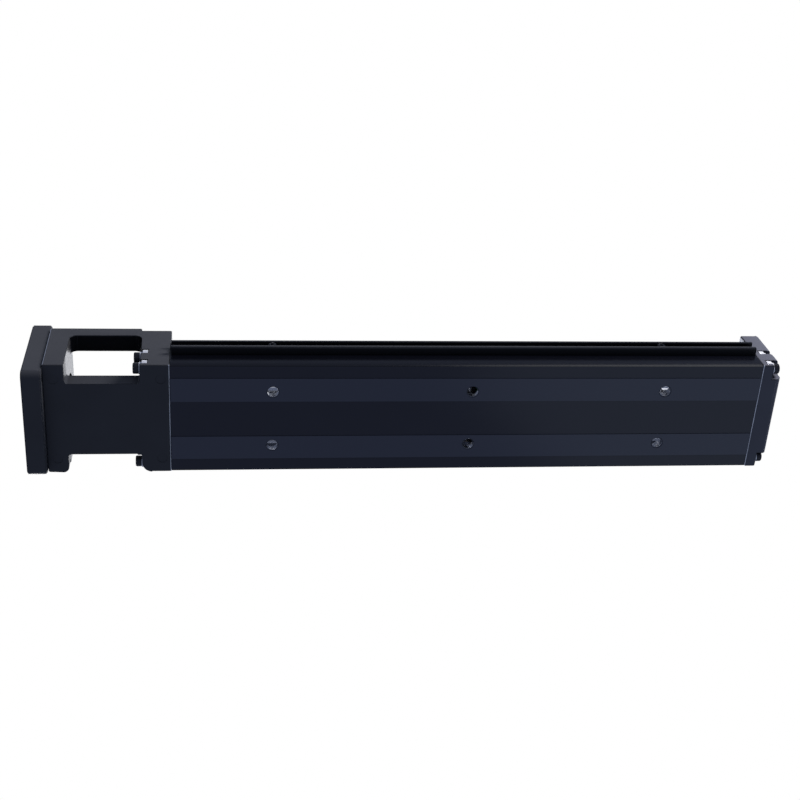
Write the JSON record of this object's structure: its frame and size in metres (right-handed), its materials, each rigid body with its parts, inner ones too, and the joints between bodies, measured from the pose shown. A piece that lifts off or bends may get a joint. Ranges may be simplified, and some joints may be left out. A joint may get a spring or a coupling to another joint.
{
  "type": "ball screw linear module",
  "caption": "Compact ball screw linear module: black U-shaped guide rail, motor bracket with square motor plate, end block, coupling and a sliding carriage with a tapped table.",
  "frame": {"origin": "on the mounting face, in the middle of the pattern of mounting holes in the guide rail's floor", "axes": "+X along the screw from the motor end to the tail end, +Y to the side away from the sensor rail, +Z from the mounting face up through the carriage"},
  "size_m": [0.381, 0.0639, 0.057],
  "materials": {
    "black_coated_steel": "thin black coating on ground steel, satin",
    "black_anodised": "black anodised aluminium with bare machined chamfers",
    "ground_steel": "ground bearing steel",
    "bearing_steel": "polished bearing steel",
    "black_oxide": "black oxide screws",
    "zinc_plated": "bright zinc plated",
    "coupling_aluminium": "turned aluminium",
    "red_polyurethane": "glossy moulded polyurethane",
    "green_plastic": "moulded engineering plastic",
    "black_rubber": "moulded nitrile rubber",
    "brass": "turned brass"
  },
  "bodies": {
    "base": {"guide_rail": "black_coated_steel", "sensor_rail": "black_anodised", "sensor_rail_screws": "zinc_plated", "motor_bracket": "black_anodised", "bracket_screws": "black_oxide", "bracket_washers": "zinc_plated", "motor_plate": "black_anodised", "plate_screws": "black_oxide", "end_block": "black_anodised", "end_block_screws": "black_oxide", "end_block_washers": "zinc_plated", "drive_bearing_outer_rings": "bearing_steel", "bearing_retainer": "ground_steel", "retainer_screws": "black_oxide", "tail_bearing_outer_ring": "bearing_steel", "drive_bumpers": "black_rubber", "tail_bumpers": "black_rubber"},
    "screw": {"ball_screw": "ground_steel", "drive_bearing_inner_rings": "bearing_steel", "drive_bearing_balls": "bearing_steel", "bearing_spacer": "ground_steel", "lock_nut": "black_oxide", "tail_bearing_inner_ring": "bearing_steel", "tail_bearing_balls": "bearing_steel", "tail_circlip": "black_oxide", "coupling_screw_hub": "coupling_aluminium", "coupling_motor_hub": "coupling_aluminium", "coupling_spider": "red_polyurethane", "coupling_clamp_screws": "black_oxide"},
    "carriage": {"carriage_block": "ground_steel", "ball_nut": "ground_steel", "nut_return_caps": "green_plastic", "nut_lock_screw": "black_oxide", "linear_balls": "bearing_steel", "drive_end_cap": "green_plastic", "tail_end_cap": "green_plastic", "drive_end_seal": "black_rubber", "tail_end_seal": "black_rubber", "cap_screws": "zinc_plated", "grease_nipple": "brass", "carriage_table": "black_anodised", "table_screws": "black_oxide"}
  },
  "joints": [
    {"name": "carriage_slide", "type": "slide", "parent": "base", "child": "carriage", "axis": [1, 0, 0], "range_m": [-0.141, 0.059]},
    {"name": "screw_spin", "type": "hinge", "parent": "base", "child": "screw", "pos_m": [0, 0, 0.0225], "axis": [1, 0, 0], "continuous": true}
  ],
  "couplings": [
    {"joint": "screw_spin", "follows": "carriage_slide", "rad_per_m": -628.32}
  ]
}
